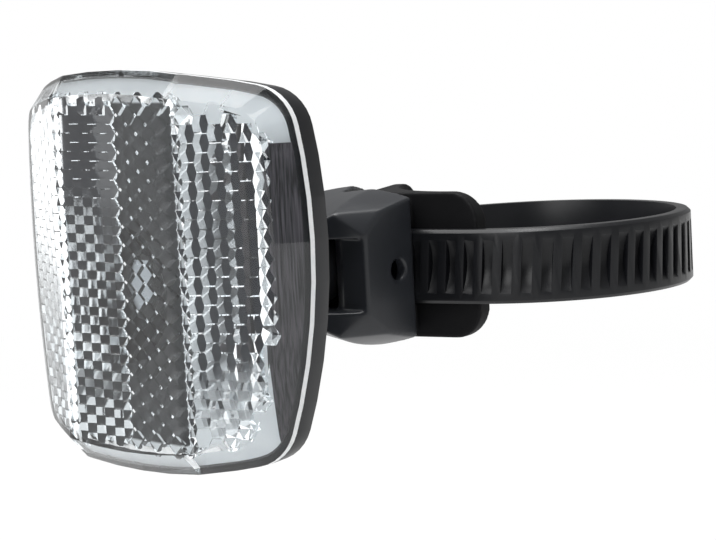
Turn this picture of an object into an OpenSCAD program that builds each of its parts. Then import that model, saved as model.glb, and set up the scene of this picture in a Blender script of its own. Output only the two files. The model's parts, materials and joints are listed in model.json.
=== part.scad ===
// Front reflector for a bicycle: a clear three-panel prism lens on a black shell, held by a
// ball joint in a fork-shaped clamp housing that straps round a bar.
// Millimetres. Origin: centre of the bar that the saddle pad seats on. +Z along the bar, up.
// The reflector is on the -Y side and is turned on its ball, as it is usually aimed.

/* [Lens] */
// Half width of the flat middle panel
panel_half = 12.4; // [9:0.1:16]
// Width of each side panel, from the crease to its front edge
wing_w = 15.5; // [11:0.1:20]
// Angle by which each side panel folds back
fold_a = 21.5; // [12:0.5:30]
// Half height of the rim at the middle
rim_half_h = 26.1; // [22:0.1:32]
// How far the front face is set in from the rim, all round
bevel_in = 2.5; // [1.5:0.1:4]
// Depth of the bevelled side wall, from the front face to the flange
bevel_d = 2.6; // [2:0.1:4]
// Thickness of the lens flange
flange_t = 0.7; // [0.5:0.1:1.2]
// Distance across the flats of one prism
prism_pitch = 2.4; // [2.2:0.1:3.6]
// Least thickness of clear plastic in front of the prisms
lens_wall = 1.3; // [1:0.1:1.6]

/* [Outline] */
// Radius of the top edge
top_arc = 130; // [90:1:200]
// Radius of the bottom edge
bottom_arc = 115; // [90:1:200]
// Radius of each side edge
side_arc = 75; // [60:1:120]
// Height at which the reflector is widest, above its middle
widest_z = 4.5; // [0:0.5:7]
// Radius of the rounded corners
corner_r = 6.5; // [4:0.1:9]

/* [Back shell] */
// Depth of the shell's rim wall, behind the lens flange
shell_d = 2.6; // [2.2:0.1:6]
// Wall thickness of the shell
shell_wall = 1.6; // [1.2:0.1:2]
// Gap between the prism tips and the shell floor
prism_gap = 0.5; // [0.3:0.1:1]
// Radius of the boss at its root
boss_root_r = 11.5; // [9:0.1:14]
// Radius of the boss at its end
boss_end_r = 4.6; // [4.2:0.1:5]
// Number of ribs round the boss
rib_n = 6; // [4:1:8]
// Thickness of each rib
rib_t = 1.4; // [1:0.1:2]

/* [Ball joint] */
// Radius of the ball
ball_r = 5.8; // [5.2:0.1:6.2]
// Distance from the ball's centre to the lens front
ball_to_face = 32.8; // [31:0.1:40]
// Distance from the ball's centre to the end of the boss
ball_to_boss = 9.6; // [9.2:0.1:12]
// Radius of the ball's neck
neck_r = 2.9; // [2.5:0.1:3.2]
// Height of the lens middle above the ball's centre
face_rise = 3; // [0:0.1:4]
// Angle by which the reflector is turned on its ball
swivel_a = 20; // [0:1:30]
// Gap between the ball and its friction pads
ball_gap = 0.12; // [0.08:0.01:0.3]
// Radius of each friction pad
pad_r = 3.9; // [3.5:0.1:4.5]
// Thickness of each friction pad, above the fork's slot
pad_t = 2.2; // [1.8:0.1:2.6]

/* [Captive bolt] */
// Radius of the bolt's shank
bolt_r = 2; // [1.5:0.1:2.2]
// Distance across the flats of its hexagon head
bolt_af = 7; // [6:0.1:8]
// Thickness of its head
bolt_head_t = 3; // [2:0.1:4]
// Plastic between the head and the end of the boss
boss_floor = 4; // [3:0.1:6]
// Radial running clearance of the shank in the ball
bolt_clear = 0.05; // [0.02:0.01:0.1]

/* [Clamp housing] */
// Distance from the bar's centre to the ball's centre
ball_y = 28.8; // [28:0.1:31]
// Half height of the housing
house_half_h = 9.9; // [9.4:0.1:12]
// Half height of the slot between the two jaws
slot_half_h = 4.9; // [4.6:0.1:5.2]
// How far the jaws reach past the ball's centre
jaw_reach = 3.5; // [3:0.1:4.2]
// Radius of the jaws' rounded nose, seen from above
nose_r = 13.2; // [12.6:0.1:14]
// Turn of each end face from square to the bar
end_face_a = 27.5; // [22:0.5:32]

/* [Strap] */
// Outer radius of the strap's loop
loop_r = 21.9; // [21:0.1:26]
// Distance from the bar's centre to the point where the strap's two ends would cross
wedge_y = 23.48; // [23:0.02:24]
// Width of the strap
strap_w = 10; // [9:0.1:10.4]
// Thickness of the strap
strap_t = 2; // [1.8:0.1:2.4]
// Angle at which the strap's ends leave the housing
leg_a = 38.5; // [36:0.5:41]
// Distance from one groove to the next
groove_pitch = 2.69; // [2.4:0.01:3.4]
// Width of each groove
groove_w = 1.45; // [1.2:0.05:1.8]
// Half height of each groove
groove_half_h = 3.6; // [3:0.1:4]
// Depth of each groove at its middle
groove_depth = 1.2; // [1.1:0.05:1.4]
// Width of the bevel along the strap's outer edges
strap_bevel = 0.45; // [0.2:0.05:0.7]
// Slant of each groove, which is the lead angle of the worm
groove_slant = 5; // [0:0.5:8]

/* [Worm screw] */
// Outer radius of the worm's thread
worm_r = 4.2; // [4:0.1:4.3]
// Distance from the strap's face to the worm's axis
worm_off = 3.2; // [3:0.1:3.5]
// Length of the worm
worm_len = 4; // [3.9:0.1:4.2]
// Distance across the flats of its hexagon socket
key_af = 2.5; // [2:0.1:3]
// Radius of the key hole in the housing
key_hole_r = 1.4; // [1.2:0.1:1.8]

/* [Saddle pad] */
// Radius of the bar seat
bar_r = 14.3; // [13.6:0.1:14.8]
// Length of each wing past the end face of the housing, along the strap
wing_len = 8.6; // [7:0.1:10]
// Radius of the wings' rounded corners
wing_corner = 4; // [2:0.1:5]
// Gap between the pad and the strap
pad_gap = 0.12; // [0.05:0.01:0.3]

/* [Hidden] */
$fn = 96;
// Small overlap that keeps cuts and joins clean
eps = 0.02;
// Thin plate from which the lens and shell are lofted
sheet = 0.01;
big = 80;

// Reflector, in its own frame: x across the face, y back from the front face, z up
flange_y = bevel_d;
lens_back = bevel_d + flange_t;
rim_half_w = panel_half + wing_w + bevel_in;
// One prism is the corner of a cube, standing on its point
hex_side = prism_pitch / sqrt(3);
prism_step = prism_pitch / sqrt(3) * sqrt(3 / 2) / sqrt(3);
prism_valley = lens_wall + 0.07;
prism_tip = prism_valley + 2 * prism_step;
floor_y = max(prism_tip + prism_gap, lens_back + 0.8);
shell_back = max(lens_back + shell_d, floor_y + shell_wall);
boss_end = ball_to_face - ball_to_boss;
boss_open = boss_root_r - 2.4;
bolt_seat = boss_end - boss_floor;
bolt_pocket_clear = 0.1;
// The shank reaches this far past the ball's centre
bolt_past = 2;
rib_drop = 5;

// Clamp, in the part's frame
slot_root_r = ball_r + 1.1;
slot_root_y = 1.1;
// The slot's root is flat over the ball and slants back beside it
slot_flat = 9.2;
slot_end = 16;
slot_slant = 3.8;
house_back_gap = 0.1;
// The strap's ends run straight to the crossing point, which stays put when the loop changes
loop_y = loop_r / cos(leg_a) - wedge_y;
wedge_q = -loop_r * tan(leg_a);
// Where the near end face meets the strap, measured along the strap from its tangent point
face_q = wedge_q + 10.59;
worm_q = face_q - 2.02;
worm_clear = 0.1;
thread_depth = 1.4;
bead_r = 2.1;
bead_q = wedge_q + 5.82;
bead_clear = 0.08;
// The bead stands out from the strap's outer face only
bead_y = -loop_r + strap_t - bead_r;
tail_q = wedge_q + 3.97;
// The grooves are arcs of a circle that is wider than the worm
groove_r = (pow(groove_half_h, 2) + pow(groove_depth, 2)) / (2 * groove_depth);

// Outline of the reflector as it would lie if its folds were opened flat
module flat_outline(grow = 0) {
    offset(r = corner_r + grow, $fn = 36) offset(delta = -corner_r) intersection() {
        translate([0, rim_half_h - top_arc]) circle(r = top_arc, $fn = 120);
        translate([0, bottom_arc - rim_half_h]) circle(r = bottom_arc, $fn = 120);
        translate([rim_half_w - side_arc, widest_z]) circle(r = side_arc, $fn = 90);
        translate([side_arc - rim_half_w, widest_z]) circle(r = side_arc, $fn = 90);
    }
}

// One of the three strips of the outline: -1 left wing, 0 middle, 1 right wing
module strip(side) {
    intersection() {
        children();
        translate([side < 0 ? -big : side > 0 ? panel_half : -panel_half, -big])
            square([side == 0 ? 2 * panel_half : big - panel_half * abs(side) * (side < 0 ? 1 : 0),
                2 * big]);
    }
}

// Folds a flat strip back about its crease and sets it at a depth behind the front face
module fold(side, depth) {
    translate([side * panel_half, depth, 0])
        rotate([0, 0, side * fold_a])
            translate([-side * panel_half, 0, 0])
                rotate([90, 0, 0])
                    children();
}

// Thin folded plate of the outline, from which the solids are lofted
module folded_sheet(grow, depth) {
    for (side = [-1, 0, 1])
        fold(side, depth)
            linear_extrude(sheet)
                strip(side) flat_outline(grow);
}

// Everything between two depths behind the folded front
module folded_slab(near_d, far_d) {
    reach = 40;
    drop = reach * tan(fold_a);
    linear_extrude(2 * big, center = true)
        polygon([
            [-panel_half - reach, near_d + drop], [-panel_half, near_d], [panel_half, near_d],
            [panel_half + reach, near_d + drop], [panel_half + reach, far_d + drop],
            [panel_half, far_d], [-panel_half, far_d], [-panel_half - reach, far_d + drop]
        ]);
}

// Loft through folded outlines, each given as [growth, depth], cut to the depths between them
module folded_loft(steps) {
    intersection() {
        hull()
            for (step = steps) folded_sheet(step[0], step[1] + sheet);
        folded_slab(steps[0][1] - 1, steps[len(steps) - 1][1]);
    }
}

// Corner points of one prism's hexagon, in half steps of the prism grid
hexagon_steps = [[2, 0], [1, 1], [-1, 1], [-2, 0], [-1, -1], [1, -1]];
// The prism beyond each side of the hexagon, in columns and half rows
neighbours = [[1, 1], [0, 2], [-1, 1], [-1, -1], [0, -2], [1, -1]];

// The prisms of one zone as one sheet, from x_from to x_to across the opened-out face. Each prism
// is the corner of a cube that stands on its point: three square faces under a hexagon.
// turn = 1 points one of the three faces to the right, turn = -1 to the left.
module prism_zone(x_from, x_to, turn, lean_from = 0, lean_to = 0) {
    mid = (x_from + x_to) / 2;
    cols = ceil((x_to - x_from) / hex_side / 3) + 1;
    rows = ceil(2 * rim_half_h / prism_pitch);
    // The grid: u counts half sides across, v counts half pitches up
    u_max = 3 * cols + 2;
    v_max = rows + 1;
    root = lens_wall - 0.25;
    depth_of = [prism_tip, prism_valley, prism_valley + prism_step];
    function place(u, v) = [mid + turn * u * hex_side / 2, v * prism_pitch / 2];
    function used(c, r) = abs(c) <= cols && abs(r) <= rows && inside_face(place(3 * c, r));
    function at(u, v, layer) = (layer * (2 * u_max + 1) + u + u_max) * (2 * v_max + 1) + v + v_max;
    function corner(c, r, k, layer) = at(3 * c + hexagon_steps[k][0], r + hexagon_steps[k][1], layer);
    function flip(face) = turn > 0 ? face : [for (j = [len(face) - 1:-1:0]) face[j]];
    cells = [for (c = [-cols:cols], r = [-rows:rows])
        if ((c + r) % 2 == 0 && used(c, r)) [c, r]];
    points = [for (layer = [0, 1], u = [-u_max:u_max], v = [-v_max:v_max])
        [place(u, v)[0], place(u, v)[1], layer == 0 ? root : depth_of[(u + 3 * u_max) % 3]]];
    faces = [for (cell = cells) each let (c = cell[0], r = cell[1]) concat(
        [flip([for (k = [0:5]) corner(c, r, k, 0)])],
        [for (k = [0, 2, 4]) flip([at(3 * c, r, 1), corner(c, r, (k + 2) % 6, 1),
            corner(c, r, k + 1, 1), corner(c, r, k, 1)])],
        [for (k = [0:5]) if (!used(c + neighbours[k][0], r + neighbours[k][1]))
            flip([corner(c, r, k, 0), corner(c, r, k, 1), corner(c, r, (k + 1) % 6, 1),
                corner(c, r, (k + 1) % 6, 0)])]
    )];
    intersection() {
        polyhedron(points, faces);
        rotate([90, 0, 0]) linear_extrude(2 * big, center = true)
            polygon([[x_from, 0], [x_to, 0],
                [x_to + lean_to * 2 * prism_tip, 2 * prism_tip],
                [x_from + lean_from * 2 * prism_tip, 2 * prism_tip]]);
    }
}

// True where a whole prism lies inside the front face
function inside_face(p) =
    let (x = p[0], z = p[1], m = bevel_in + prism_pitch * 0.45, w = rim_half_w - m, h = rim_half_h - m,
        cr = max(corner_r - m, 1))
    norm([x, z - rim_half_h + top_arc]) < top_arc - m
    && norm([x, z + rim_half_h - bottom_arc]) < bottom_arc - m
    && norm([abs(x) + side_arc - rim_half_w, z - widest_z]) < side_arc - m
    && (abs(x) < w - cr || abs(z) < h - cr - 1
        || norm([abs(x) - w + cr + 1.2, abs(z) - h + cr + 2.2]) < cr + 0.6);

module lens() {
    // Each zone is cut where the panels meet, half way round the fold
    mitre = tan(fold_a / 2);
    lap = 0.02;
    edge = 0.35;
    color([0.93, 0.95, 0.97]) reflector_place() union() {
        difference() {
            folded_loft([
                [-bevel_in - edge, 0], [-bevel_in - edge / 4, edge / 2], [0, bevel_d], [0, lens_back]
            ]);
            folded_loft([
                [-bevel_in - lens_wall, lens_wall], [-lens_wall, bevel_d + 0.5],
                [-lens_wall, lens_back + 1]
            ]);
        }
        fold(0, 0) mirror([0, 0, 1]) {
            prism_zone(-panel_half - lap, lap, -1, mitre, 0);
            prism_zone(-lap, panel_half + lap, 1, 0, -mitre);
        }
        fold(1, 0) mirror([0, 0, 1]) prism_zone(panel_half - lap, rim_half_w, 1, mitre, 0);
        fold(-1, 0) mirror([0, 0, 1]) prism_zone(-rim_half_w, -panel_half + lap, -1, 0, -mitre);
    }
}

// Moves the reflector's own frame to its place on the ball
module reflector_place() {
    translate([0, -ball_y, 0])
        rotate([0, 0, swivel_a])
            translate([0, -ball_to_face, face_rise])
                children();
}

// Moves a piece that turns about the ball's own axis: z runs along the stud, away from the face
module stud_place() {
    translate([0, -ball_y, 0])
        rotate([0, 0, swivel_a])
            rotate([-90, 0, 0])
                children();
}

module back_shell() {
    color([0.07, 0.07, 0.075]) difference() {
        union() {
            reflector_place() difference() {
                folded_loft([[0, lens_back], [-0.35, shell_back]]);
                folded_loft([[-shell_wall, lens_back - 1], [-shell_wall, floor_y]]);
            }
            stud_place() boss();
        }
        stud_place() boss_hollow();
    }
}

// Hollow cone behind the face that carries the bolt, with ribs out to the shell floor
module boss() {
    root_z = -(ball_to_face - floor_y - shell_wall);
    end_z = -ball_to_boss;
    translate([0, 0, root_z]) cylinder(r1 = boss_root_r, r2 = boss_end_r, h = end_z - root_z);
    for (k = [0:rib_n - 1])
        rotate([0, 0, (k + 0.5) * 360 / rib_n])
            translate([0, rib_t / 2, root_z - eps])
                rotate([90, 0, 0])
                    linear_extrude(rib_t)
                        polygon([
                            [boss_end_r - 1, 0], [boss_root_r + rib_drop, 0],
                            [boss_end_r - 0.2, end_z - root_z - 2.5],
                            [boss_end_r - 1, end_z - root_z - 2.5]
                        ]);
}

module boss_hollow() {
    root_z = -(ball_to_face - floor_y);
    seat_z = -(ball_to_face - bolt_seat);
    pocket_z = seat_z - bolt_head_t - 1.5;
    // The cone is hollow down to the hexagon pocket that keeps the bolt's head from turning
    translate([0, 0, root_z - 0.5])
        cylinder(r1 = boss_open, r2 = bolt_af / 2 + 0.9, h = pocket_z - root_z + 0.5);
    translate([0, 0, pocket_z - eps]) hexagon(bolt_af + 2 * bolt_pocket_clear, seat_z - pocket_z + eps);
    translate([0, 0, seat_z - eps]) cylinder(r = bolt_r + bolt_pocket_clear, h = boss_floor + 1);
}

module hexagon(flats, h) {
    cylinder(r = flats / sqrt(3), h = h, $fn = 6);
}

// Hexagon bolt that the shell holds captive and that carries the ball
module captive_bolt() {
    seat_z = -(ball_to_face - bolt_seat);
    color([0.72, 0.73, 0.74]) stud_place() union() {
        translate([0, 0, seat_z - bolt_head_t - bolt_pocket_clear]) hexagon(bolt_af, bolt_head_t);
        translate([0, 0, seat_z - bolt_pocket_clear - eps])
            cylinder(r = bolt_r, h = bolt_past - seat_z + bolt_pocket_clear + eps);
    }
}

// Ball with its neck and the collar that bears on the boss
module ball() {
    collar_h = 1;
    neck_z = -ball_to_boss + 0.05;
    color([0.10, 0.10, 0.11]) stud_place() difference() {
        union() {
            sphere(r = ball_r);
            translate([0, 0, neck_z]) cylinder(r = neck_r, h = ball_to_boss - 3);
            translate([0, 0, neck_z]) cylinder(r = boss_end_r - 0.4, h = collar_h);
        }
        translate([0, 0, neck_z - 1])
            cylinder(r = bolt_r + bolt_clear, h = bolt_past + 0.4 + 1 - neck_z);
    }
}

// Round pad with a dished face that grips one pole of the ball
module ball_pad() {
    color([0.16, 0.16, 0.17]) translate([0, -ball_y, 0]) difference() {
        translate([0, 0, slot_half_h + 0.05]) cylinder(r = pad_r, h = pad_t - 0.1);
        sphere(r = ball_r + ball_gap);
    }
}

module upper_ball_pad() {
    ball_pad();
}

module lower_ball_pad() {
    mirror([0, 0, 1]) ball_pad();
}

// Turns to the frame of one strap leg: x along the leg, away from the housing, and y towards the bar.
// side = 1 is the worm's side, side = -1 the anchored side.
module leg_place(side) {
    translate([0, loop_y, 0])
        mirror([side < 0 ? 1 : 0, 0, 0])
            rotate([0, 0, leg_a])
                children();
}

// Half of the housing's plan, on the worm's side, cut by the end face and the strap's channel
module house_plan() {
    nose_y = -ball_y + 6.8;
    intersection() {
        translate([0, nose_y]) circle(r = nose_r);
        translate([-big, -ball_y - jaw_reach]) square([2 * big, big]);
        for_both() translate([0, loop_y]) rotate(leg_a) translate([face_q, -loop_r])
            rotate(end_face_a - leg_a) translate([-big, -big]) square([big, 2 * big]);
        difference() {
            square(2 * big, center = true);
            inside_legs(loop_r + house_back_gap);
        }
    }
}

// Everything between the two strap legs, up to a distance from the middle of the loop
module inside_legs(reach) {
    for_both() translate([0, loop_y]) rotate(leg_a) translate([-big, -reach]) square(2 * big);
}

// The children, cut with their own mirror image
module for_both() {
    intersection() {
        children();
        mirror([1, 0, 0]) children();
    }
}

// Side view of the housing: full height at the strap, sloping down over the jaws
module house_side() {
    crown_r = 22;
    lift = 0.8;
    front = -ball_y - jaw_reach;
    intersection() {
        translate([front, -big]) square([big, 2 * big]);
        translate([-ball_y + 9.6, house_half_h + lift - crown_r]) circle(r = crown_r);
        translate([-ball_y + 9.6, crown_r - house_half_h - lift]) circle(r = crown_r);
    }
}

// Front view of the housing: a round barrel with its top and bottom flattened
module house_front() {
    intersection() {
        circle(r = nose_r + 0.6);
        scale_r = 24;
        translate([0, house_half_h + 1.1 - scale_r]) circle(r = scale_r);
        translate([0, scale_r - house_half_h - 1.1]) circle(r = scale_r);
    }
}

module clamp_housing() {
    color([0.12, 0.12, 0.13]) difference() {
        intersection() {
            linear_extrude(2 * big, center = true) house_plan();
            rotate([90, 0, 90]) linear_extrude(2 * big, center = true) house_side();
            rotate([90, 0, 0]) linear_extrude(2 * big, center = true) house_front();
        }
        // Slot between the jaws, with the round root that clears the ball
        translate([0, -ball_y, 0]) cylinder(r = slot_root_r, h = 2 * slot_half_h, center = true);
        translate([0, -ball_y, 0]) linear_extrude(2 * slot_half_h, center = true)
            polygon([
                [-slot_end, -big], [slot_end, -big], [slot_end, slot_root_y + slot_slant],
                [slot_flat, slot_root_y], [-slot_flat, slot_root_y],
                [-slot_end, slot_root_y + slot_slant]
            ]);
        translate([0, -ball_y, 0]) sphere(r = ball_r + ball_gap + 0.1);
        // Round pockets for the friction pads
        translate([0, -ball_y, 0])
            cylinder(r = pad_r + 0.06, h = 2 * (slot_half_h + pad_t), center = true);
        worm_pocket();
        anchor_pocket();
    }
}

module worm_pocket() {
    leg_place(1) {
        translate([worm_q - worm_len - worm_clear, -loop_r - worm_off, 0]) rotate([0, 90, 0])
            cylinder(r = worm_r + worm_clear, h = worm_len + 2 * worm_clear);
        translate([worm_q - worm_len - worm_clear, -loop_r - worm_off, -worm_r - worm_clear])
            cube([worm_len + 2 * worm_clear, worm_off, 2 * (worm_r + worm_clear)]);
        translate([worm_q, -loop_r - worm_off, 0]) rotate([0, 90, 0])
            cylinder(r = key_hole_r, h = 3 * worm_len);
    }
}

// Round socket for the bead on the strap's fixed end
module anchor_pocket() {
    leg_place(-1)
        translate([bead_q, bead_y, 0])
            cylinder(r = bead_r + bead_clear, h = strap_w + 0.4, center = true);
}

// Worm screw: a core with raised thread rings at the pitch of the strap's grooves
module worm_screw() {
    ring_t = groove_w - 0.65;
    first = ceil((worm_q - worm_len + ring_t / 2) / groove_pitch - 0.5);
    last = floor((worm_q - ring_t / 2) / groove_pitch - 0.5);
    color([0.60, 0.61, 0.62]) leg_place(1) translate([0, -loop_r - worm_off, 0])
        rotate([0, 90, 0]) difference() {
            union() {
                translate([0, 0, worm_q - worm_len])
                    cylinder(r = worm_r - thread_depth, h = worm_len);
                for (k = [first:last])
                    translate([0, 0, (k + 0.5) * groove_pitch - ring_t / 2])
                        cylinder(r = worm_r, h = ring_t);
            }
            translate([0, 0, worm_q - 3]) hexagon(key_af, 4);
        }
}

// Strap: two straight legs and a round loop, with grooves for the worm on its outer face
module strap() {
    color([0.09, 0.09, 0.095]) difference() {
        union() {
            translate([0, loop_y, 0])
                rotate([0, 0, -90 + leg_a])
                    rotate_extrude(angle = 360 - 2 * leg_a)
                        strap_profile();
            leg_place(1) leg_bar(tail_q);
            leg_place(-1) leg_bar(bead_q);
            leg_place(-1)
                translate([bead_q, bead_y, 0])
                    cylinder(r = bead_r, h = strap_w, center = true);
        }
        loop_grooves();
        leg_place(1) for (k = [ceil(tail_q / groove_pitch - 0.5):-1])
            translate([(k + 0.5) * groove_pitch, 0, 0]) groove();
        leg_place(-1) for (k = [-3:-1])
            translate([(k + 0.5) * groove_pitch, 0, 0]) mirror([0, 0, 1]) groove();
    }
}

// Cross-section of the strap, x out from the middle of the loop
module strap_profile() {
    inner = loop_r - strap_t;
    half_w = strap_w / 2;
    polygon([
        [inner, -half_w], [loop_r - strap_bevel, -half_w], [loop_r, -half_w + strap_bevel],
        [loop_r, half_w - strap_bevel], [loop_r - strap_bevel, half_w], [inner, half_w]
    ]);
}

module leg_bar(from_q) {
    translate([from_q, 0, 0]) rotate([90, 0, 90]) linear_extrude(eps - from_q)
        mirror([1, 0, 0]) strap_profile();
}

module loop_grooves() {
    arc = 360 - 2 * leg_a;
    count = floor(arc * PI / 180 * loop_r / groove_pitch);
    step = arc / count;
    for (k = [0:count - 1])
        translate([0, loop_y, 0]) rotate([0, 0, leg_a + (k + 0.5) * step]) groove();
}

// One scooped groove, which leans along the strap as the worm's thread does
module groove() {
    translate([0, -loop_r - groove_r + groove_depth, 0]) rotate([0, 90 + groove_slant, 0])
        cylinder(r = groove_r, h = groove_w, center = true);
}

// Saddle pad: round seat for the bar inside, faces that follow the strap outside
module saddle_pad() {
    end_q = face_q + wing_len;
    color([0.045, 0.045, 0.05]) difference() {
        intersection() {
            union() {
                linear_extrude(2 * big, center = true) inside_legs(loop_r - strap_t - pad_gap);
                pad_ribs();
            }
            wing_ends(end_q);
        }
        cylinder(r = bar_r, h = 3 * house_half_h, center = true);
        above_seat();
    }
}

// Rounds the four outer corners of the pad's wings, seen square to each wing
module wing_ends(end_q) {
    intersection() {
        leg_place(1) wing_round(end_q);
        leg_place(-1) wing_round(end_q);
    }
}

module wing_round(end_q) {
    rotate([90, 0, 0]) linear_extrude(3 * loop_r, center = true) intersection() {
        translate([-big, -house_half_h]) square([big + end_q, 2 * house_half_h]);
        union() {
            translate([-big, -big]) square([big + end_q - wing_corner, 2 * big]);
            translate([-big, -house_half_h + wing_corner])
                square([big + end_q, 2 * (house_half_h - wing_corner)]);
            for (s = [-1, 1])
                translate([end_q - wing_corner, s * (house_half_h - wing_corner)])
                    circle(r = wing_corner);
        }
    }
}

// Two ribs that pass the strap and bear on the back of the housing
module pad_ribs() {
    rib_low = strap_w / 2 + 0.3;
    for (s = [-1, 1])
        translate([0, 0, s * (rib_low + house_half_h - 1) / 2])
            linear_extrude(house_half_h - 1 - rib_low, center = true) intersection() {
                inside_legs(loop_r + house_back_gap);
                for_both() translate([0, loop_y]) rotate(leg_a)
                    translate([-big, -big]) square([big + face_q - 1.5, 2 * big]);
            }
}

// Opens the pad above the bar seat
module above_seat() {
    translate([-big, -bar_r * 0.36, -big]) cube([2 * big, big, 2 * big]);
}

lens();
back_shell();
captive_bolt();
ball();
upper_ball_pad();
lower_ball_pad();
clamp_housing();
worm_screw();
strap();
saddle_pad();
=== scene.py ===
"""Looks of a front bicycle reflector on its strap clamp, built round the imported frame."""
import json
import math

import bpy
from mathutils import Matrix, Vector

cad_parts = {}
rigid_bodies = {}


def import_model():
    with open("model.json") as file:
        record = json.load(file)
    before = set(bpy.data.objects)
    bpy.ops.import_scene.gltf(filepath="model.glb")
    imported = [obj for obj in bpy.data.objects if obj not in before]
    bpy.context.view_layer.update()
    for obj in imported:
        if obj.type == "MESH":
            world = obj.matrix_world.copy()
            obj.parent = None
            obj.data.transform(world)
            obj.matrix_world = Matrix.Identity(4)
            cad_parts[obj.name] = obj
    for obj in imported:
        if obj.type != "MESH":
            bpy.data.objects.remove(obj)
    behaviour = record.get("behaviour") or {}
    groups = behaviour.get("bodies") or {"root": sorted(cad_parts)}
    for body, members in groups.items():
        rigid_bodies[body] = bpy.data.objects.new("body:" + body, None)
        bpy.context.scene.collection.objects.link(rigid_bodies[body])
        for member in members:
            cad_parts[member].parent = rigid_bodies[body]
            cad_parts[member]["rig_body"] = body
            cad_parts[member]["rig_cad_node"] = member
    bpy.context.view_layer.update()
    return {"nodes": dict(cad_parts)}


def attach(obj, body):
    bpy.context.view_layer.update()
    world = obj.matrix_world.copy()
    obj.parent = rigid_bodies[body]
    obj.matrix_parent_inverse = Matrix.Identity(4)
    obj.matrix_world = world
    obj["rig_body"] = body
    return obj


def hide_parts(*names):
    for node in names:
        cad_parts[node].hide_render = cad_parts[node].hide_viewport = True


bl_info = {
    "name": "Front reflector",
    "version": (1, 0, 0),
    "blender": (4, 5, 0),
    "location": "View3D > Sidebar > Reflector",
    "description": "Dresses the front reflector, its ball joint and its strap clamp",
    "category": "Add Mesh",
}

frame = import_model()

MM = 0.001

# The reflector's own frame, as the frame's model has it: its turn on the ball, and its folds
BALL_CENTRE = Vector((0, -28.8, 0)) * MM
BALL_TO_FACE = Vector((0, 32.8, -3)) * MM
SWIVEL = math.radians(20)
PANEL_HALF = 12.4 * MM
FOLD = math.radians(21.5)
FACE_RISE = 3 * MM

# Depths behind the front: the flange's outer wall, its back, and the deepest that the painted light reaches
FLANGE_FROM = 2.57 * MM
FLANGE_TO = 3.25 * MM
FLANGE_BACK = 3.3 * MM
PAINTED_LIGHT_DEPTH = 4.8 * MM

# The near panel's crease and turn, and its prisms: length of a cube's side, and depths of its corners
NEAR_TURN = Matrix.Rotation(SWIVEL + FOLD, 3, "Z")
NEAR_CREASE = BALL_CENTRE + Matrix.Rotation(SWIVEL, 3, "Z") @ (Vector((PANEL_HALF, 0, 0)) - BALL_TO_FACE)
PRISM_SIDE = 2.4 / math.sqrt(3) * MM
PRISM_STEP = PRISM_SIDE / math.sqrt(2)
PRISM_LOW = 1.37 * MM
LEVEL_SLACK = 0.02 * MM
CENTRE_SLACK = 0.3 * MM
CREASE_GAP = 0.2 * MM

# Where light is painted white behind the prisms, the strip beside them painted dark, and the border above
# and below
PAINTED_LIGHT_WIDTH = 20 * MM
PAINTED_LIGHT_FADE = 0.2 * MM
STRIP_FROM = 12.9 * MM
STRIP_TOP = 16.6 * MM
STRIP_DEPTHS = (1.1 * MM, 2.95 * MM)
BORDER_HEIGHT = 21.8 * MM
BORDER_FADE = 0.3 * MM

# Which way a face looks: the step that tests it, and shares of its normal's length
PROBE = 0.01 * MM
SIDEWAYS = 0.5
BACKWARDS = 0.7
FORWARDS = 0.8

# Degrees over which an edge stays sharp: on prisms, on most pieces and on the relaxed ones
PRISM_SHARP = 24
SHARP = 30
RELAXED_SHARP = 60

# Size of the small faces that the housing and the saddle pad are rebuilt in
VOXEL = 0.2 * MM

# Camera, from the fit to the strap's loop, the ball and the lens creases. Its place is in metres, its
# turn in degrees, its focal length and the image's width in pixels, and its sensor in millimetres.
CAMERA_PLACE = (0.365442, -0.155094, 0.040101)
CAMERA_TURN = (84.0114, 3.0632, 69.6788)
FOCAL_LENGTH = 2850
IMAGE_WIDTH = 716
SENSOR_WIDTH = 36

# Direction from the part to the camera
TO_CAMERA = Vector((0.93457912, -0.34015898, 0.1041813))

# Stage, in metres. Each lamp has its name, place, size and watts.
FLOOR_HEIGHT = -0.055
FLOOR_SIZE = 6
LIT_POINT = Vector((0, -0.03, 0))
LAMPS = (
    ("overhead", (-0.05, -0.10, 0.45), 0.5, 3.0),
    ("front_left", (0.35, -0.45, 0.25), 0.4, 2.0),
    ("highlight", (0.06, -0.04, 0.5), 0.1, 0.6),
)
CARD_RADIUS = 0.17
CARD_DISTANCE = 0.6
MOST_BOUNCES = 40
LENS_BOUNCES = 36


def opened_out(point):
    """Place on the opened-out face: across, depth behind the front, and up."""
    p = Matrix.Rotation(-SWIVEL, 3, "Z") @ (point - BALL_CENTRE) + BALL_TO_FACE
    side = 1 if p.x > 0 else -1
    crease = Vector((side * PANEL_HALF, 0, 0))
    past = (p - crease).x * side * math.cos(FOLD / 2) + p.y * math.sin(FOLD / 2)
    if past <= 0:
        return p
    q = Matrix.Rotation(-side * FOLD, 3, "Z") @ (p - crease)
    return crease + Vector((q.x - side * q.y * math.tan(FOLD), q.y / math.cos(FOLD), q.z))


def on_near_panel(point):
    """Place on the near panel: across from its crease, depth behind the front, and up."""
    return NEAR_TURN.transposed() @ (point - NEAR_CREASE)


def linear_colour(code):
    """sRGB hex to linear RGBA."""
    parts = [int(code[i : i + 2], 16) / 255 for i in (1, 3, 5)]
    return [p / 12.92 if p <= 0.04045 else ((p + 0.055) / 1.055) ** 2.4 for p in parts] + [1.0]


# Properties


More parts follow.
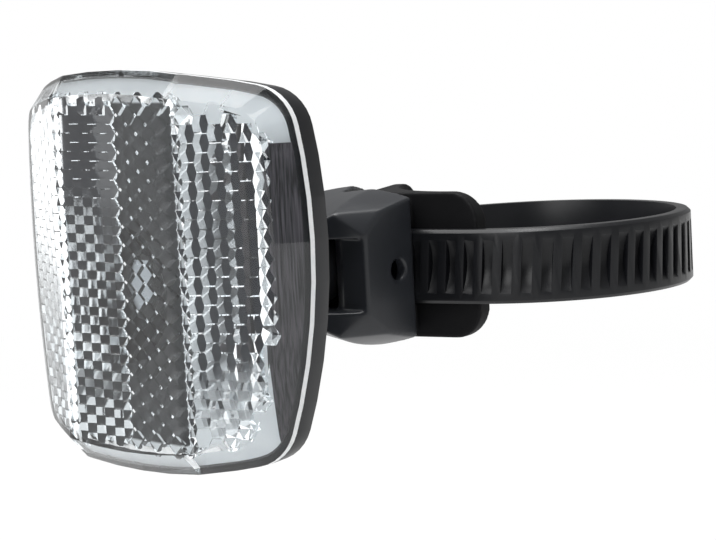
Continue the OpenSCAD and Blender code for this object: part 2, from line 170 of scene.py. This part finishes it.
class ReflectorSizes(bpy.types.PropertyGroup):
    """Sizes of the finer forms"""

    shell_edge: bpy.props.FloatProperty(
        name="Shell edge radius", description="Rounding of the back shell's edges",
        default=0.25 * MM, unit="LENGTH")
    strap_edge: bpy.props.FloatProperty(
        name="Strap edge radius", description="Rounding of the strap's edges and grooves",
        default=0.12 * MM, unit="LENGTH")
    housing_steps: bpy.props.IntProperty(
        name="Housing softness", description="Relaxing steps that round the clamp housing", default=12)
    saddle_steps: bpy.props.IntProperty(
        name="Saddle softness", description="Relaxing steps that round the saddle pad", default=10)


class ReflectorColours(bpy.types.PropertyGroup):
    """Colours of the finishes"""

    shell: bpy.props.FloatVectorProperty(
        name="Shell", description="Black moulded plastic of the back shell", subtype="COLOR",
        size=4, min=0, max=1, default=linear_colour("#101114"))
    housing: bpy.props.FloatVectorProperty(
        name="Housing", description="Black glass-filled nylon of the clamp housing", subtype="COLOR",
        size=4, min=0, max=1, default=linear_colour("#1E2024"))
    strap: bpy.props.FloatVectorProperty(
        name="Strap", description="Black nylon of the strap", subtype="COLOR",
        size=4, min=0, max=1, default=linear_colour("#0C0D10"))
    saddle: bpy.props.FloatVectorProperty(
        name="Saddle pad", description="Black rubber of the saddle pad", subtype="COLOR",
        size=4, min=0, max=1, default=linear_colour("#0A0A0C"))
    lens: bpy.props.FloatVectorProperty(
        name="Lens", description="Clear acrylic of the lens", subtype="COLOR",
        size=4, min=0, max=1, default=linear_colour("#F4F8FA"))


# Node helpers


def add_node(tree, kind, settings=None, inputs=None, links=None):
    """Adds one node, sets its properties and sockets, and links its inputs."""
    node = tree.nodes.new(kind)
    for key, value in (settings or {}).items():
        setattr(node, key, value)
    for key, value in (inputs or {}).items():
        node.inputs[key].default_value = value
    for key, source in (links or {}).items():
        tree.links.new(source, node.inputs[key])
    return node


def blank_material(name):
    """A material with an empty node tree."""
    material = bpy.data.materials.new(name)
    material.use_nodes = True
    material.node_tree.nodes.clear()
    return material, material.node_tree


# Materials


def moulded_plastic(name, colour, rough, grain_mm, grain_depth_mm, tone=0.12, shine=0.5):
    """Injection-moulded plastic: a fine spark-eroded grain from the tool and soft flow marks."""
    material, tree = blank_material(name)
    place = add_node(tree, "ShaderNodeTexCoord")
    grain = add_node(
        tree, "ShaderNodeTexNoise",
        inputs={"Scale": 1 / (grain_mm * MM), "Detail": 3, "Roughness": 0.55},
        links={"Vector": place.outputs["Object"]})
    flow = add_node(
        tree, "ShaderNodeTexNoise",
        inputs={"Scale": 1 / (6 * MM), "Detail": 2, "Distortion": 0.6},
        links={"Vector": place.outputs["Object"]})
    shade = add_node(
        tree, "ShaderNodeMix", {"data_type": "RGBA"},
        inputs={6: colour, 7: [min(1, c * (1 + 3 * tone) + 0.002) for c in colour[:3]] + [1]},
        links={0: flow.outputs["Fac"]})
    gloss = add_node(
        tree, "ShaderNodeMapRange",
        inputs={"To Min": rough * (1 - tone), "To Max": rough * (1 + tone)},
        links={"Value": flow.outputs["Fac"]})
    bump = add_node(
        tree, "ShaderNodeBump", inputs={"Strength": 0.5, "Distance": grain_depth_mm * MM},
        links={"Height": grain.outputs["Fac"]})
    shader = add_node(
        tree, "ShaderNodeBsdfPrincipled", inputs={"IOR": 1.5, "Specular IOR Level": shine},
        links={
            "Base Color": shade.outputs[2], "Roughness": gloss.outputs["Result"],
            "Normal": bump.outputs["Normal"]})
    add_node(tree, "ShaderNodeOutputMaterial", links={"Surface": shader.outputs["BSDF"]})
    return material


def clear_acrylic(colour):
    """Polished injection-moulded acrylic, clear as water, over air-backed corner prisms."""
    material, tree = blank_material("clear_moulded_acrylic")
    place = add_node(tree, "ShaderNodeTexCoord")
    flow = add_node(
        tree, "ShaderNodeTexNoise", inputs={"Scale": 1 / (5 * MM), "Detail": 1},
        links={"Vector": place.outputs["Object"]})
    bump = add_node(
        tree, "ShaderNodeBump", inputs={"Strength": 0.04, "Distance": 0.05 * MM},
        links={"Height": flow.outputs["Fac"]})
    shader = add_node(
        tree, "ShaderNodeBsdfPrincipled",
        inputs={
            "Base Color": colour, "Roughness": 0.03, "IOR": 1.49, "Transmission Weight": 1.0},
        links={"Normal": bump.outputs["Normal"]})
    add_node(tree, "ShaderNodeOutputMaterial", links={"Surface": shader.outputs["BSDF"]})
    return material


def flange_painted_highlight():
    """The lens's outer flange, painted near-white: a painted highlight standing in for the light its rim
    reflects.
    """
    material, tree = blank_material("painted_highlight_flange")
    place = add_node(tree, "ShaderNodeTexCoord")
    highlight_noise = add_node(
        tree, "ShaderNodeTexNoise", inputs={"Scale": 1 / (0.5 * MM), "Detail": 3},
        links={"Vector": place.outputs["Object"]})
    shade = add_node(
        tree, "ShaderNodeMix", {"data_type": "RGBA"},
        inputs={6: linear_colour("#E6EAEC"), 7: linear_colour("#FFFFFF")},
        links={0: highlight_noise.outputs["Fac"]})
    shader = add_node(
        tree, "ShaderNodeBsdfPrincipled",
        inputs={"Roughness": 0.35, "IOR": 1.49, "Transmission Weight": 0.25},
        links={"Base Color": shade.outputs[2]})
    add_node(tree, "ShaderNodeOutputMaterial", links={"Surface": shader.outputs["BSDF"]})
    return material


def strip_painted_dark():
    """Painted darkness on the back of the lens's outer strip, in upright streaks: a painted dark refraction
    standing in for the black shell seen through the clear strip.
    """
    material, tree = blank_material("strip_painted_dark_refraction")
    place = add_node(tree, "ShaderNodeTexCoord")
    upright = add_node(
        tree, "ShaderNodeMapping", inputs={"Scale": (1, 1, 0.03)},
        links={"Vector": place.outputs["Object"]})
    streaks = add_node(
        tree, "ShaderNodeTexNoise", inputs={"Scale": 1 / (0.25 * MM), "Detail": 3},
        links={"Vector": upright.outputs["Vector"]})
    spread = add_node(
        tree, "ShaderNodeMapRange", inputs={"From Min": 0.35, "From Max": 0.7},
        links={"Value": streaks.outputs["Fac"]})
    shade = add_node(
        tree, "ShaderNodeMix", {"data_type": "RGBA"},
        inputs={6: linear_colour("#101013"), 7: linear_colour("#5A565C")},
        links={0: spread.outputs["Result"]})
    shader = add_node(
        tree, "ShaderNodeBsdfPrincipled", inputs={"Roughness": 0.45, "IOR": 1.5},
        links={"Base Color": shade.outputs[2]})
    add_node(tree, "ShaderNodeOutputMaterial", links={"Surface": shader.outputs["BSDF"]})
    return material


def painted_light_lining(name, all_over):
    """White painted inside the shell, behind the near panel's prisms and along the lens's clear border:
    painted light standing in for the light that the prisms send back.
    """
    material, tree = blank_material(name)
    place = add_node(tree, "ShaderNodeTexCoord")
    # Distance from the crease along the panel, and the painted light's edge short of the rim
    across = NEAR_TURN @ Vector((1, 0, 0))
    along = add_node(
        tree, "ShaderNodeVectorMath", {"operation": "DOT_PRODUCT"},
        inputs={1: across}, links={0: place.outputs["Object"]})
    crease = across.dot(NEAR_CREASE)
    starts = add_node(
        tree, "ShaderNodeMapRange", inputs={"From Min": crease, "From Max": crease + PAINTED_LIGHT_FADE},
        links={"Value": along.outputs["Value"]})
    ends = add_node(
        tree, "ShaderNodeMapRange",
        inputs={
            "From Min": crease + PAINTED_LIGHT_WIDTH, "From Max": crease + PAINTED_LIGHT_WIDTH + PAINTED_LIGHT_FADE,
            "To Min": 1.0, "To Max": 0.0},
        links={"Value": along.outputs["Value"]})
    panel = add_node(
        tree, "ShaderNodeMath", {"operation": "MULTIPLY"},
        links={0: starts.outputs["Result"], 1: ends.outputs["Result"]})
    # The border above and below the prisms, painted white as light too
    parts = add_node(tree, "ShaderNodeSeparateXYZ", links={"Vector": place.outputs["Object"]})
    height = add_node(
        tree, "ShaderNodeMath", {"operation": "SUBTRACT"}, inputs={1: FACE_RISE},
        links={0: parts.outputs["Z"]})
    height = add_node(tree, "ShaderNodeMath", {"operation": "ABSOLUTE"}, links={0: height.outputs[0]})
    border = add_node(
        tree, "ShaderNodeMapRange",
        inputs={"From Min": BORDER_HEIGHT, "From Max": BORDER_HEIGHT + BORDER_FADE},
        links={"Value": height.outputs[0]})
    painted_light_mask = add_node(
        tree, "ShaderNodeMath", {"operation": "MAXIMUM"},
        links={0: panel.outputs[0], 1: border.outputs["Result"]})
    painted_light_mask = add_node(
        tree, "ShaderNodeMath", {"operation": "MAXIMUM"}, inputs={1: float(all_over)},
        links={0: painted_light_mask.outputs[0]})
    cloud = add_node(
        tree, "ShaderNodeTexNoise", inputs={"Scale": 1 / (3 * MM), "Detail": 2},
        links={"Vector": place.outputs["Object"]})
    shade = add_node(
        tree, "ShaderNodeMix", {"data_type": "RGBA"},
        inputs={6: linear_colour("#EEF0F2"), 7: linear_colour("#FFFFFF")},
        links={0: cloud.outputs["Fac"]})
    cover = add_node(
        tree, "ShaderNodeMix", {"data_type": "RGBA"}, inputs={6: linear_colour("#17181B")},
        links={0: painted_light_mask.outputs[0], 7: shade.outputs[2]})
    shader = add_node(
        tree, "ShaderNodeBsdfPrincipled", inputs={"Roughness": 0.5, "IOR": 1.5},
        links={"Base Color": cover.outputs[2]})
    add_node(tree, "ShaderNodeOutputMaterial", links={"Surface": shader.outputs["BSDF"]})
    return material


def plated_steel(name, code, rough):
    """Turned steel, zinc-plated or blackened, with a faint mottle from the bath."""
    material, tree = blank_material(name)
    place = add_node(tree, "ShaderNodeTexCoord")
    mottle = add_node(
        tree, "ShaderNodeTexNoise", inputs={"Scale": 1 / (0.8 * MM), "Detail": 4},
        links={"Vector": place.outputs["Object"]})
    gloss = add_node(
        tree, "ShaderNodeMapRange", inputs={"To Min": rough * 0.8, "To Max": rough * 1.25},
        links={"Value": mottle.outputs["Fac"]})
    shader = add_node(
        tree, "ShaderNodeBsdfPrincipled",
        inputs={"Base Color": linear_colour(code), "Metallic": 1.0},
        links={"Roughness": gloss.outputs["Result"]})
    add_node(tree, "ShaderNodeOutputMaterial", links={"Surface": shader.outputs["BSDF"]})
    return material


# Modelling helpers


def select_only(piece):
    """Leaves one object selected and active."""
    bpy.ops.object.select_all(action="DESELECT")
    piece.select_set(True)
    bpy.context.view_layer.objects.active = piece


def finer_copy(node, name, whole_faces=True):
    """A copy of a CAD solid with its loose triangles joined and its flat faces made whole."""
    source = frame["nodes"][node]
    piece = source.copy()
    piece.data = source.data.copy()
    piece.name = name
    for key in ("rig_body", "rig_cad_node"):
        del piece[key]
    piece.parent = None
    bpy.context.scene.collection.objects.link(piece)
    select_only(piece)
    piece.data.materials.clear()
    bpy.ops.mesh.customdata_custom_splitnormals_clear()
    bpy.ops.object.mode_set(mode="EDIT")
    bpy.ops.mesh.select_all(action="SELECT")
    bpy.ops.mesh.remove_doubles(threshold=0.0005 * MM)
    if whole_faces:
        bpy.ops.mesh.dissolve_limited(angle_limit=math.radians(0.3))
    bpy.ops.object.mode_set(mode="OBJECT")
    return piece


def round_edges(piece, width, angle, segments=3):
    """Rounds every edge sharper than the angle."""
    select_only(piece)
    bevel = piece.modifiers.new("edges", "BEVEL")
    bevel.width = width
    bevel.segments = segments
    bevel.limit_method = "ANGLE"
    bevel.angle_limit = math.radians(angle)
    bevel.miter_outer = "MITER_ARC"
    bpy.ops.object.modifier_apply(modifier="edges")


def soft_remesh(piece, steps):
    """Rebuilds the surface in small even faces and relaxes it, which rounds its edges."""
    select_only(piece)
    remesh = piece.modifiers.new("remesh", "REMESH")
    remesh.mode = "VOXEL"
    remesh.voxel_size = VOXEL
    bpy.ops.object.modifier_apply(modifier="remesh")
    relax = piece.modifiers.new("relax", "SMOOTH")
    relax.factor = 0.5
    relax.iterations = steps
    bpy.ops.object.modifier_apply(modifier="relax")


def smooth(piece, angle):
    """Smooth shading up to an angle, sharp above it."""
    select_only(piece)
    bpy.ops.object.shade_smooth_by_angle(angle=math.radians(angle))


def select_faces(piece, wanted):
    """Selects the faces that pass a test, and leaves the piece in edit mode."""
    select_only(piece)
    bpy.ops.object.mode_set(mode="EDIT")
    bpy.ops.mesh.select_mode(type="FACE")
    bpy.ops.mesh.select_all(action="DESELECT")
    bpy.ops.object.mode_set(mode="OBJECT")
    for face in piece.data.polygons:
        face.select = wanted(face)
    bpy.ops.object.mode_set(mode="EDIT")


def apart(a, b):
    """Distance between two places on a panel, whatever their depths."""
    return math.hypot(a.x - b.x, a.z - b.z)


def reverse_prisms(piece):
    """Turns the near panel's prisms half round: the low corners of each cube become its middle ones."""
    mesh = piece.data
    places = [on_near_panel(vert.co) for vert in mesh.vertices]

    def at_level(depth):
        return [i for i, q in enumerate(places) if q.x > CREASE_GAP and abs(q.y - depth) < LEVEL_SLACK]

    # Each whole cube has its tip and six corners round it, low and middle in turn
    middle = set(at_level(PRISM_LOW + PRISM_STEP))
    corners = middle.union(at_level(PRISM_LOW))
    tips = {}
    for i in at_level(PRISM_LOW + 2 * PRISM_STEP):
        around = [k for k in corners if apart(places[i], places[k]) < PRISM_SIDE * 1.1]
        if len(around) == 6:
            tips[i] = around
    centres = [places[i].copy() for i in tips]
    moved = set(k for around in tips.values() for k in around)
    bpy.ops.object.mode_set(mode="EDIT")
    bpy.ops.mesh.select_mode(type="EDGE")
    bpy.ops.mesh.select_all(action="DESELECT")
    bpy.ops.object.mode_set(mode="OBJECT")
    for edge in mesh.edges:
        a, b = edge.vertices
        if a in tips or b in tips:
            edge.select = True
        elif a in middle and b in middle:
            half_way = (places[a] + places[b]) / 2
            edge.select = min(apart(half_way, c) for c in centres) < PRISM_SIDE * 0.6
    for k in moved:
        rise = PRISM_STEP if k not in middle else -PRISM_STEP
        mesh.vertices[k].co += NEAR_TURN @ Vector((0, rise, 0))
    bpy.ops.object.mode_set(mode="EDIT")
    bpy.ops.mesh.dissolve_edges(use_verts=True)
    bpy.ops.object.mode_set(mode="OBJECT")
    count = len(mesh.vertices)

    def open_hexagon(face):
        q = on_near_panel(face.center)
        return len(face.vertices) == 6 and min(apart(q, c) for c in centres) < CENTRE_SLACK

    # Each hexagon left open gets its tip back
    select_faces(piece, open_hexagon)
    bpy.ops.mesh.poke()
    bpy.ops.object.mode_set(mode="OBJECT")
    for vert in list(mesh.vertices)[count:]:
        q = on_near_panel(vert.co)
        vert.co = NEAR_CREASE + NEAR_TURN @ min(centres, key=lambda c: apart(q, c))


def back_of_strip(face):
    """True for the smooth back of the lens in the near panel, beside the prisms."""
    q = on_near_panel(face.center)
    near, far = STRIP_DEPTHS
    return (NEAR_TURN.transposed() @ face.normal).y > BACKWARDS and q.x > 0 and near < q.y < far


def facing(face):
    """A face's centre and the way it looks, both on the opened-out face."""
    middle = opened_out(face.center)
    return middle, opened_out(face.center + face.normal * PROBE) - middle


def outward(face):
    """True for a face on the reflector's outer side wall."""
    middle, ahead = facing(face)
    middle.y = 0
    return ahead.dot(middle) > 0 and abs(ahead.y) < SIDEWAYS * ahead.length


def on_flange(mesh, face):
    """True for the outer wall of the lens's flange."""
    behind = all(opened_out(mesh.vertices[i].co).y > FLANGE_FROM for i in face.vertices)
    return behind and opened_out(face.center).y < FLANGE_TO and outward(face)


def on_strip(face):
    """True for the back of the clear strip between the near panel's prisms and its rim."""
    q = on_near_panel(face.center)
    return back_of_strip(face) and q.x > STRIP_FROM and q.z < STRIP_TOP


def settle(piece, body, material, node):
    """Gives the piece its finish and body, and lets it stand for its CAD node."""
    piece.data.materials.clear()
    piece.data.materials.append(material)
    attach(piece, body)
    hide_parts(node)


# Operators, one for each piece


class REFLECTOR_OT_lens(bpy.types.Operator):
    """Clear lens with its corner prisms"""

    bl_idname = "reflector.lens"
    bl_label = "Lens"

    def execute(self, context):
        piece = finer_copy("lens", "clear_lens", whole_faces=False)
        reverse_prisms(piece)
        smooth(piece, PRISM_SHARP)
        finish = clear_acrylic(context.scene.reflector_colours.lens)
        settle(piece, "reflector", finish, "lens")
        # Second finish: the flange's painted highlight
        piece.data.materials.append(flange_painted_highlight())
        # Third finish: the strip's painted darkness
        piece.data.materials.append(strip_painted_dark())
        # Cuts the strip's back where its painted darkness begins
        for start, normal in (((STRIP_FROM, 0, 0), (1, 0, 0)), ((0, 0, STRIP_TOP), (0, 0, 1))):
            select_faces(piece, back_of_strip)
            bpy.ops.mesh.bisect(
                plane_co=NEAR_CREASE + NEAR_TURN @ Vector(start), plane_no=NEAR_TURN @ Vector(normal))
            bpy.ops.object.mode_set(mode="OBJECT")
        for face in piece.data.polygons:
            # The strip's back gets the painted darkness
            if on_strip(face):
                face.material_index = 2
            # The flange's outer wall gets the painted highlight
            elif on_flange(piece.data, face):
                face.material_index = 1
        return {"FINISHED"}


class REFLECTOR_OT_shell(bpy.types.Operator):
    """Black back shell"""

    bl_idname = "reflector.shell"
    bl_label = "Back shell"

    def execute(self, context):
        piece = finer_copy("back_shell", "black_shell")
        round_edges(piece, context.scene.reflector_sizes.shell_edge, angle=30)
        smooth(piece, SHARP)
        colour = context.scene.reflector_colours.shell[:]
        finish = moulded_plastic("black_moulded_abs", colour, rough=0.32, grain_mm=0.25, grain_depth_mm=0.01)
        settle(piece, "reflector", finish, "back_shell")
        # Painted light: white inside the shell, standing in for the light the prisms send back
        piece.data.materials.append(painted_light_lining("painted_light_floor", False))
        piece.data.materials.append(painted_light_lining("painted_light_walls", True))
        # The painted light lies on the floor behind the prisms and on the near panel's inner walls
        for face in piece.data.polygons:
            middle, ahead = facing(face)
            if not FLANGE_BACK < middle.y < PAINTED_LIGHT_DEPTH:
                continue
            sideways = abs(ahead.y) < SIDEWAYS * ahead.length
            if ahead.y < -FORWARDS * ahead.length:
                face.material_index = 1
            elif middle.x > PANEL_HALF + 1 * MM and sideways and not outward(face):
                face.material_index = 2
        return {"FINISHED"}


class REFLECTOR_OT_fixings(bpy.types.Operator):
    """Captive bolt, ball, friction pads and worm screw"""

    bl_idname = "reflector.fixings"
    bl_label = "Ball joint and screws"

    def execute(self, context):
        nodes = frame["nodes"]
        steel = plated_steel("zinc_plated_steel", "#B9BCC0", rough=0.28)
        dark_steel = plated_steel("black_oxide_steel", "#55565A", rough=0.35)
        acetal = moulded_plastic(
            "black_acetal", linear_colour("#2A2B2E"), rough=0.24, grain_mm=0.3, grain_depth_mm=0.004)
        pad = moulded_plastic(
            "grey_friction_nylon", linear_colour("#2B2C30"), rough=0.5, grain_mm=0.2, grain_depth_mm=0.01)
        for name, finish in (
            ("captive_bolt", steel), ("worm_screw", dark_steel), ("ball", acetal),
            ("upper_ball_pad", pad), ("lower_ball_pad", pad),
        ):
            nodes[name].data.materials.clear()
            nodes[name].data.materials.append(finish)
            smooth(nodes[name], SHARP)
        return {"FINISHED"}


class REFLECTOR_OT_housing(bpy.types.Operator):
    """Fork-shaped clamp housing"""

    bl_idname = "reflector.housing"
    bl_label = "Clamp housing"

    def execute(self, context):
        piece = finer_copy("clamp_housing", "fork_housing")
        soft_remesh(piece, context.scene.reflector_sizes.housing_steps)
        smooth(piece, RELAXED_SHARP)
        colour = context.scene.reflector_colours.housing[:]
        finish = moulded_plastic(
            "glass_filled_nylon", colour, rough=0.34, grain_mm=0.22, grain_depth_mm=0.012, shine=0.42)
        settle(piece, "clamp", finish, "clamp_housing")
        return {"FINISHED"}


class REFLECTOR_OT_strap(bpy.types.Operator):
    """Grooved strap"""

    bl_idname = "reflector.strap"
    bl_label = "Strap"

    def execute(self, context):
        piece = finer_copy("strap", "grooved_strap")
        round_edges(piece, context.scene.reflector_sizes.strap_edge, angle=25, segments=2)
        smooth(piece, SHARP)
        colour = context.scene.reflector_colours.strap[:]
        finish = moulded_plastic(
            "black_nylon", colour, rough=0.34, grain_mm=0.3, grain_depth_mm=0.01, shine=0.32)
        settle(piece, "clamp", finish, "strap")
        return {"FINISHED"}


class REFLECTOR_OT_saddle(bpy.types.Operator):
    """Rubber saddle pad"""

    bl_idname = "reflector.saddle"
    bl_label = "Saddle pad"

    def execute(self, context):
        piece = finer_copy("saddle_pad", "rubber_saddle")
        soft_remesh(piece, context.scene.reflector_sizes.saddle_steps)
        smooth(piece, RELAXED_SHARP)
        colour = context.scene.reflector_colours.saddle[:]
        finish = moulded_plastic(
            "black_rubber", colour, rough=0.6, grain_mm=0.2, grain_depth_mm=0.015, shine=0.15)
        settle(piece, "clamp", finish, "saddle_pad")
        return {"FINISHED"}


class REFLECTOR_OT_stage(bpy.types.Operator):
    """Floor, lamps, surroundings and camera"""

    bl_idname = "reflector.stage"
    bl_label = "Stage"

    def execute(self, context):
        self.floor()
        self.surroundings(context)
        self.lamps()
        self.dark_card()
        self.camera(context)
        # Light is turned back many times between the prisms before it leaves the lens
        context.scene.cycles.max_bounces = MOST_BOUNCES
        context.scene.cycles.glossy_bounces = LENS_BOUNCES
        context.scene.cycles.transmission_bounces = LENS_BOUNCES
        context.scene.view_settings.view_transform = "Standard"
        return {"FINISHED"}

    def floor(self):
        bpy.ops.object.select_all(action="DESELECT")
        bpy.ops.mesh.primitive_plane_add(size=FLOOR_SIZE, location=(0, 0, FLOOR_HEIGHT))
        floor = bpy.context.active_object
        floor.name = "studio_floor"
        bpy.ops.object.transform_apply(location=True, rotation=True, scale=True)
        material, tree = blank_material("white_paper")
        path = add_node(tree, "ShaderNodeLightPath")
        seen = add_node(
            tree, "ShaderNodeMath", {"operation": "MAXIMUM"},
            links={0: path.outputs["Is Camera Ray"], 1: path.outputs["Is Glossy Ray"]})
        seen = add_node(
            tree, "ShaderNodeMath", {"operation": "MAXIMUM"},
            links={0: seen.outputs[0], 1: path.outputs["Is Transmission Ray"]})
        # The paper goes over to plain white away from the part, so that no horizon shows
        place = add_node(tree, "ShaderNodeTexCoord")
        away = add_node(
            tree, "ShaderNodeVectorMath", {"operation": "LENGTH"},
            links={0: place.outputs["Object"]})
        clear = add_node(
            tree, "ShaderNodeMapRange", {"interpolation_type": "SMOOTHSTEP"},
            inputs={"From Min": 0.1, "From Max": 0.4, "To Min": 0.85, "To Max": 1.0},
            links={"Value": away.outputs["Value"]})
        share = add_node(
            tree, "ShaderNodeMath", {"operation": "MULTIPLY"},
            links={0: seen.outputs[0], 1: clear.outputs["Result"]})
        paper = add_node(tree, "ShaderNodeBsdfDiffuse", inputs={"Color": linear_colour("#E8E8E8")})
        glow = add_node(tree, "ShaderNodeEmission", inputs={"Color": (1, 1, 1, 1), "Strength": 1.0})
        mixed = add_node(
            tree, "ShaderNodeMixShader",
            links={0: share.outputs[0], 1: paper.outputs[0], 2: glow.outputs[0]})
        add_node(tree, "ShaderNodeOutputMaterial", links={"Surface": mixed.outputs[0]})
        floor.data.materials.append(material)

    def surroundings(self, context):
        world = context.scene.world or bpy.data.worlds.new("studio")
        context.scene.world = world
        world.use_nodes = True
        tree = world.node_tree
        tree.nodes.clear()
        path = add_node(tree, "ShaderNodeLightPath")
        # White where it is seen, brighter through the lens, and dimmer as light on the black plastic
        plain = add_node(
            tree, "ShaderNodeMath", {"operation": "MULTIPLY_ADD"}, inputs={1: 0.6, 2: 0.4},
            links={0: path.outputs["Is Camera Ray"]})
        strength = add_node(
            tree, "ShaderNodeMath", {"operation": "MULTIPLY_ADD"}, inputs={1: 1.1},
            links={0: path.outputs["Is Transmission Ray"], 2: plain.outputs[0]})
        sky = add_node(
            tree, "ShaderNodeBackground", inputs={"Color": (1, 1, 1, 1)},
            links={"Strength": strength.outputs[0]})
        add_node(tree, "ShaderNodeOutputWorld", links={"Surface": sky.outputs[0]})

    def lamps(self):
        for name, place, size, power in LAMPS:
            bpy.ops.object.select_all(action="DESELECT")
            bpy.ops.object.light_add(type="AREA", location=place)
            lamp = bpy.context.active_object
            lamp.name = name
            lamp.data.size = size
            lamp.data.energy = power
            lamp.visible_transmission = False
            lamp.rotation_mode = "QUATERNION"
            lamp.rotation_quaternion = (LIT_POINT - lamp.location).to_track_quat("-Z", "Y")

    def dark_card(self):
        """The unlit side of the studio, behind the camera, which the prisms send back."""
        bpy.ops.object.select_all(action="DESELECT")
        bpy.ops.mesh.primitive_circle_add(
            vertices=64, radius=CARD_RADIUS, fill_type="NGON", location=TO_CAMERA * CARD_DISTANCE)
        card = bpy.context.active_object
        card.name = "dark_card"
        card.rotation_mode = "QUATERNION"
        card.rotation_quaternion = TO_CAMERA.to_track_quat("Z", "Y")
        bpy.ops.object.transform_apply(location=True, rotation=True, scale=True)
        card.visible_camera = False
        card.visible_shadow = False
        card.visible_diffuse = False
        material, tree = blank_material("black_card")
        dark = add_node(
            tree, "ShaderNodeEmission", inputs={"Color": linear_colour("#22242A"), "Strength": 1.0})
        add_node(tree, "ShaderNodeOutputMaterial", links={"Surface": dark.outputs[0]})
        card.data.materials.append(material)

    def camera(self, context):
        bpy.ops.object.select_all(action="DESELECT")
        bpy.ops.object.camera_add()
        camera = bpy.context.active_object
        camera.name = "photo_camera"
        camera.location = CAMERA_PLACE
        camera.rotation_euler = [math.radians(a) for a in CAMERA_TURN]
        camera.data.sensor_width = SENSOR_WIDTH
        camera.data.lens = FOCAL_LENGTH / IMAGE_WIDTH * SENSOR_WIDTH
        context.scene.camera = camera


class REFLECTOR_PT_panel(bpy.types.Panel):
    """Lists the operators in the sidebar"""

    bl_label = "Front reflector"
    bl_idname = "REFLECTOR_PT_panel"
    bl_space_type = "VIEW_3D"
    bl_region_type = "UI"
    bl_category = "Reflector"

    def draw(self, context):
        for group in (context.scene.reflector_sizes, context.scene.reflector_colours):
            for key in group.bl_rna.properties.keys():
                if key not in ("rna_type", "name"):
                    self.layout.prop(group, key)
        for name in OPERATORS:
            self.layout.operator(name)


CLASSES = (
    ReflectorSizes, ReflectorColours, REFLECTOR_OT_lens, REFLECTOR_OT_shell, REFLECTOR_OT_fixings,
    REFLECTOR_OT_housing, REFLECTOR_OT_strap, REFLECTOR_OT_saddle, REFLECTOR_OT_stage,
    REFLECTOR_PT_panel,
)
OPERATORS = (
    "reflector.stage", "reflector.lens", "reflector.shell", "reflector.fixings",
    "reflector.housing", "reflector.strap", "reflector.saddle",
)


def register():
    for cls in CLASSES:
        bpy.utils.register_class(cls)
    bpy.types.Scene.reflector_sizes = bpy.props.PointerProperty(type=ReflectorSizes)
    bpy.types.Scene.reflector_colours = bpy.props.PointerProperty(type=ReflectorColours)


def unregister():
    del bpy.types.Scene.reflector_sizes
    del bpy.types.Scene.reflector_colours
    for cls in reversed(CLASSES):
        bpy.utils.unregister_class(cls)


def main():
    register()
    for name in OPERATORS:
        group, operator = name.split(".")
        getattr(getattr(bpy.ops, group), operator)()


if __name__ == "__main__":
    main()
